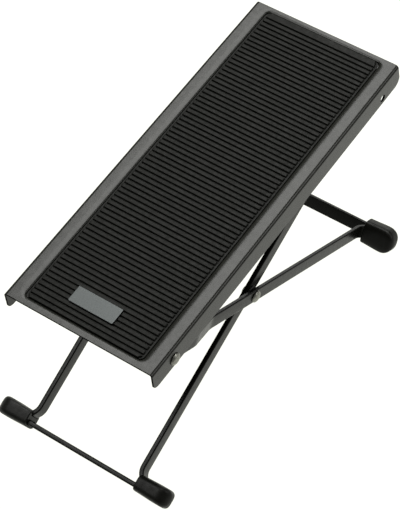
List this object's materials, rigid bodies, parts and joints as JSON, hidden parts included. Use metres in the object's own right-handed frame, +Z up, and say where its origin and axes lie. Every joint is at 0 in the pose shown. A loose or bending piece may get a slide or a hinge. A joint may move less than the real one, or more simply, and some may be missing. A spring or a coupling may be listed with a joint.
{
  "type": "guitar footrest",
  "caption": "Folding footrest: pressed steel tread with a ribbed rubber mat on crossed flat-bar frames, with rubber feet and notched height racks.",
  "frame": {"origin": "on the ground, under the middle of the whole footrest as it stands open", "axes": "+Y from the tread's low end to its high end, +Z up, +X to the right of someone who looks along +Y"},
  "size_m": [0.1494, 0.2928, 0.1691],
  "materials": {
    "tread_paint": "satin dark grey powder coat",
    "frame_paint": "satin black paint",
    "mat_rubber": "matt ribbed rubber",
    "foot_rubber": "smooth moulded rubber",
    "badge_metal": "satin, blank",
    "rivet_steel": "dark plated steel",
    "washer_nylon": "black nylon"
  },
  "bodies": {
    "rear_frame": {"rear_leg_right": "frame_paint", "rear_leg_left": "frame_paint", "rear_cross_bar": "frame_paint", "rear_foot_right": "foot_rubber", "rear_foot_left": "foot_rubber", "flange_rivet_right": "rivet_steel", "flange_rivet_left": "rivet_steel", "flange_washer_right": "washer_nylon", "flange_washer_left": "washer_nylon", "scissor_rivet_right": "rivet_steel", "scissor_rivet_left": "rivet_steel", "scissor_washer_right": "washer_nylon", "scissor_washer_left": "washer_nylon"},
    "tread": {"tread_plate": "tread_paint", "tread_mat": "mat_rubber", "badge_plate": "badge_metal", "notch_rack_right": "frame_paint", "notch_rack_left": "frame_paint"},
    "front_frame": {"front_leg_right": "frame_paint", "front_leg_left": "frame_paint", "front_cross_bar": "frame_paint", "front_foot_right": "foot_rubber", "front_foot_left": "foot_rubber", "height_rod": "rivet_steel"}
  },
  "joints": [
    {"name": "tread_fold", "type": "hinge", "parent": "rear_frame", "child": "tread", "pos_m": [0, -0.11477, 0.12697], "axis": [1, 0, 0], "range_deg": [-29, 10]},
    {"name": "frame_scissor", "type": "hinge", "parent": "rear_frame", "child": "front_frame", "pos_m": [0, -0.01172, 0.07845], "axis": [1, 0, 0], "range_deg": [-53.4, 18.4]}
  ],
  "couplings": [
    {"joint": "frame_scissor", "follows": "tread_fold", "ratio": 1.84}
  ]
}
